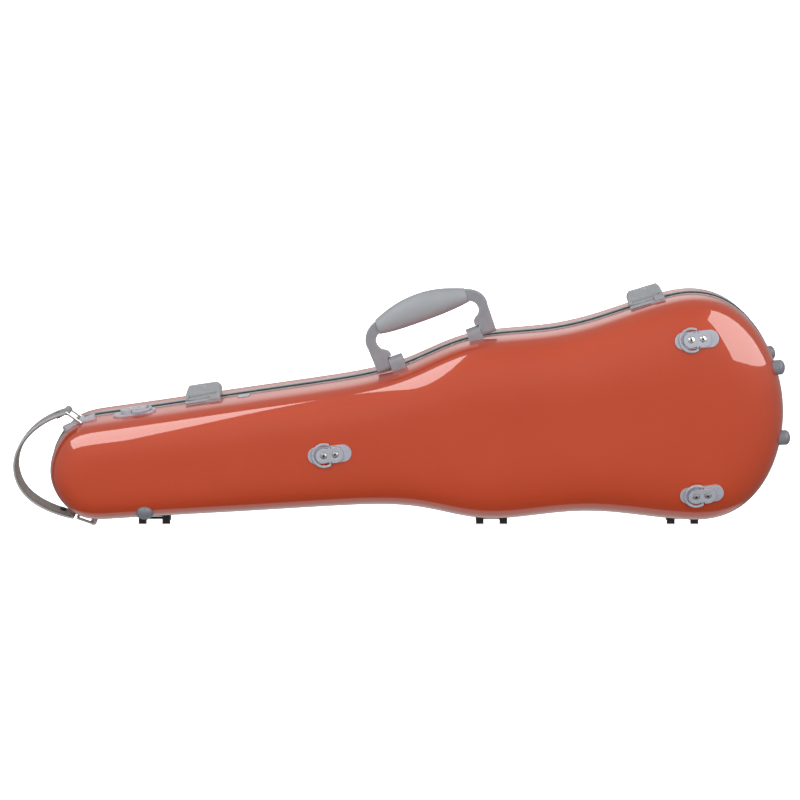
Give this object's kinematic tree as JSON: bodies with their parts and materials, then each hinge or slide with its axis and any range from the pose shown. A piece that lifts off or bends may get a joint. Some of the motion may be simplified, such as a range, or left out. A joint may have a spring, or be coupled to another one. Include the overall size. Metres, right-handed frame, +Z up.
{
  "type": "violin case",
  "caption": "Shaped hard violin case in two glossy shells with a hinged lid, lift latches, a folding carrying handle, strap rings and a padded interior.",
  "frame": {"origin": "middle of the bounding box's bottom, on the surface that the hinges stand on", "axes": "+X along the hinge line to the wide end, +Y from the base to the lid, +Z up to the handle side"},
  "size_m": [0.8336, 0.1494, 0.2618],
  "materials": {
    "shell_lacquer": "high-gloss terracotta orange-red lacquer over a composite shell",
    "rim_metal": "satin grey",
    "gasket_rubber": "matt black",
    "lining_plush": "short-pile plush over foam",
    "lining_tape": "woven tape",
    "hinge_black": "satin black",
    "latch_zinc": "matt silver-grey",
    "fitting_zinc": "matt silver-grey",
    "bright_steel": "polished",
    "grip_soft": "smooth soft-touch grey",
    "handle_plastic": "matt grey",
    "foot_rubber": "smooth grey",
    "strap_hide": "fine-grained grey leather",
    "strap_weave": "ribbed grey webbing",
    "stud_black": "satin black",
    "spinner_plastic": "satin black"
  },
  "bodies": {
    "base": {"badge": "fitting_zinc", "base_liner": "lining_plush", "base_rim": "rim_metal", "base_shell": "shell_lacquer", "end_feet_base": "foot_rubber", "handle_bracket_left": "handle_plastic", "handle_bracket_right": "handle_plastic", "handle_pins": "bright_steel", "hinge_base_leaf_1": "hinge_black", "hinge_base_leaf_2": "hinge_black", "hinge_base_leaf_3": "hinge_black", "hinge_pin_1": "hinge_black", "hinge_pin_2": "hinge_black", "hinge_pin_3": "hinge_black", "latch_keeper_1": "latch_zinc", "latch_keeper_2": "latch_zinc", "neck_cradle": "lining_plush", "neck_foot_base": "foot_rubber", "neck_strap": "lining_tape", "plate_screws": "bright_steel", "rim_gasket": "gasket_rubber", "ring_lower_plate": "fitting_zinc", "ring_neck_plate": "fitting_zinc", "ring_side_plate": "fitting_zinc", "ring_upper_plate": "fitting_zinc", "strap_leather": "strap_hide", "strap_plate_bottom": "fitting_zinc", "strap_plate_top": "fitting_zinc", "strap_ring_bottom": "bright_steel", "strap_ring_top": "bright_steel", "strap_studs": "stud_black", "strap_webbing": "strap_weave"},
    "lid": {"bow_spinner_posts": "spinner_plastic", "bow_tip_holder_1": "lining_tape", "bow_tip_holder_2": "lining_tape", "end_feet_lid": "foot_rubber", "hinge_lid_leaf_1": "hinge_black", "hinge_lid_leaf_2": "hinge_black", "hinge_lid_leaf_3": "hinge_black", "latch_base_1": "latch_zinc", "latch_base_2": "latch_zinc", "latch_pin_1": "bright_steel", "latch_pin_2": "bright_steel", "lid_liner": "lining_plush", "lid_rim": "rim_metal", "lid_shell": "shell_lacquer", "neck_foot_lid": "foot_rubber"},
    "latch_lever_1": {"latch_lever_1": "latch_zinc"},
    "latch_lever_2": {"latch_lever_2": "latch_zinc"},
    "handle": {"handle_frame": "handle_plastic", "handle_grip": "grip_soft"},
    "ring_neck": {"ring_neck": "fitting_zinc"},
    "ring_upper": {"ring_upper": "fitting_zinc"},
    "ring_lower": {"ring_lower": "fitting_zinc"},
    "ring_side": {"ring_side": "fitting_zinc"},
    "accessory_lid": {"accessory_lid": "lining_plush", "accessory_lid_tab": "lining_tape"},
    "bow_spinner_1": {"bow_spinner_1": "spinner_plastic"},
    "bow_spinner_2": {"bow_spinner_2": "spinner_plastic"}
  },
  "joints": [
    {"name": "lid_hinge", "type": "hinge", "parent": "base", "child": "lid", "pos_m": [-0.00071, 0.00392, 0.0045], "axis": [-1, 0, 0], "range_deg": [0, 95]},
    {"name": "latch_lift_1", "type": "hinge", "parent": "lid", "child": "latch_lever_1", "pos_m": [-0.21323, 0.02242, 0.14458], "axis": [-0.9887, 0, -0.1501], "range_deg": [0, 85]},
    {"name": "latch_lift_2", "type": "hinge", "parent": "lid", "child": "latch_lever_2", "pos_m": [0.26165, 0.02242, 0.25084], "axis": [-0.9541, 0, -0.2995], "range_deg": [0, 85]},
    {"name": "handle_fold", "type": "hinge", "parent": "base", "child": "handle", "pos_m": [0.03764, -0.00908, 0.19595], "axis": [0.9379, 0, 0.3469], "range_deg": [-60, 90]},
    {"name": "ring_neck_swing", "type": "hinge", "parent": "base", "child": "ring_neck", "pos_m": [-0.07541, -0.07191, 0.09298], "axis": [-0.1028, 0, 0.9947], "range_deg": [0, 150]},
    {"name": "ring_upper_swing", "type": "hinge", "parent": "base", "child": "ring_upper", "pos_m": [0.31076, -0.06739, 0.21614], "axis": [-0.1004, 0.2156, 0.9713], "range_deg": [0, 150]},
    {"name": "ring_lower_swing", "type": "hinge", "parent": "base", "child": "ring_lower", "pos_m": [0.32002, -0.06739, 0.04747], "axis": [-0.1, -0.2311, 0.9678], "range_deg": [0, 150]},
    {"name": "ring_side_swing", "type": "hinge", "parent": "base", "child": "ring_side", "pos_m": [-0.28599, -0.01808, 0.12998], "axis": [0, -1, 0], "range_deg": [0, 150]},
    {"name": "accessory_lid_hinge", "type": "hinge", "parent": "base", "child": "accessory_lid", "pos_m": [-0.24282, -0.00518, 0.07467], "axis": [0.1028, 0, -0.9947], "range_deg": [0, 85]},
    {"name": "bow_spinner_turn_1", "type": "hinge", "parent": "lid", "child": "bow_spinner_1", "pos_m": [0.31229, 0.03492, 0.11193], "axis": [0, 1, 0], "range_deg": [0, 90]},
    {"name": "bow_spinner_turn_2", "type": "hinge", "parent": "lid", "child": "bow_spinner_2", "pos_m": [0.30818, 0.03492, 0.15172], "axis": [0, 1, 0], "range_deg": [0, 90]}
  ]
}
